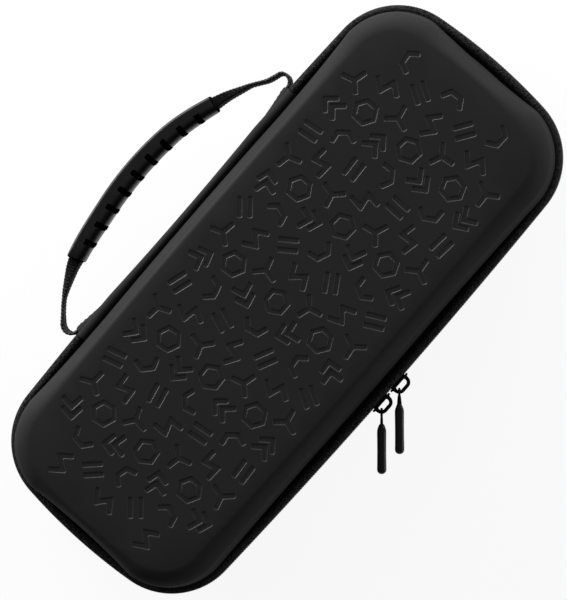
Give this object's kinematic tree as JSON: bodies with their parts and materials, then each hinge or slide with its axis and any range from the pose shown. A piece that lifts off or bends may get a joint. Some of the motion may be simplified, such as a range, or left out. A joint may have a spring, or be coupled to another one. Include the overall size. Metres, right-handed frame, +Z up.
{
  "type": "portable game console case",
  "caption": "Moulded hard-shell zip case for a handheld game console, with embossed lid, cloth spine hinge, ribbed carry handle, zip sliders with pulls, foam tray and net pocket.",
  "frame": {"origin": "middle of the base's flat underside, where the closed case rests", "axes": "+X along the case, +Y towards the spine and handle, +Z up through the lid"},
  "size_m": [0.32, 0.2019, 0.067],
  "materials": {
    "shell_skin": "fine-grained black coated skin moulded on foam, satin",
    "zip_tape": "black woven polyester tape, matt",
    "zip_teeth": "black nylon coil, slight sheen",
    "edge_binding": "black ribbed bias tape",
    "tray_lining": "charcoal brushed knit over foam",
    "spine_cloth": "black coated cloth, satin",
    "webbing": "black coarse woven webbing",
    "grip_rubber": "black moulded rubber, satin",
    "pocket_net": "black knitted net",
    "pocket_elastic": "black ribbed elastic",
    "slider_metal": "black enamelled die casting, gloss",
    "pull_cord": "black braided cord",
    "pull_rubber": "black moulded soft plastic, satin"
  },
  "bodies": {
    "base": {"base_shell": "shell_skin", "base_zip_tape": "zip_tape", "base_zip_teeth": "zip_teeth", "base_edge_binding": "edge_binding", "console_tray": "tray_lining", "hinge_spine": "spine_cloth", "handle_anchor_left": "spine_cloth", "handle_anchor_right": "spine_cloth"},
    "lid": {"lid_shell": "shell_skin", "lid_zip_tape": "zip_tape", "lid_zip_teeth": "zip_teeth", "lid_edge_binding": "edge_binding", "lid_pocket_net": "pocket_net", "lid_pocket_hem": "pocket_elastic"},
    "handle": {"handle_strap": "webbing", "handle_grip": "grip_rubber"},
    "slider_left": {"slider_left": "slider_metal"},
    "slider_right": {"slider_right": "slider_metal"},
    "pull_left": {"pull_cord_left": "pull_cord", "pull_tab_left": "pull_rubber"},
    "pull_right": {"pull_cord_right": "pull_cord", "pull_tab_right": "pull_rubber"}
  },
  "joints": [
    {"name": "lid_open", "type": "hinge", "parent": "base", "child": "lid", "pos_m": [0, 0.0699, 0.036], "axis": [-1, 0, 0], "range_deg": [0, 100], "deforming": ["hinge_spine"]},
    {"name": "handle_swing", "type": "hinge", "parent": "base", "child": "handle", "pos_m": [0, 0.07003, 0.027], "axis": [-1, 0, 0], "range_deg": [0, 75], "deforming": ["handle_strap"]},
    {"name": "slider_left_run", "type": "hinge", "parent": "base", "child": "slider_left", "pos_m": [0, 3.3605, 0.036], "axis": [0, 0, 1], "range_deg": [-1.82, 0]},
    {"name": "pull_left_swing", "type": "hinge", "parent": "slider_left", "child": "pull_left", "pos_m": [-0.0093, -0.07346, 0.036], "axis": [0.6614, -0.7501, 0], "range_deg": [-90, 90]},
    {"name": "slider_right_run", "type": "hinge", "parent": "base", "child": "slider_right", "pos_m": [0, 3.3605, 0.036], "axis": [0, 0, 1], "range_deg": [0, 1.79]},
    {"name": "pull_right_swing", "type": "hinge", "parent": "slider_right", "child": "pull_right", "pos_m": [0.00411, -0.07347, 0.036], "axis": [0.6643, -0.7475, 0], "range_deg": [-90, 90]}
  ]
}
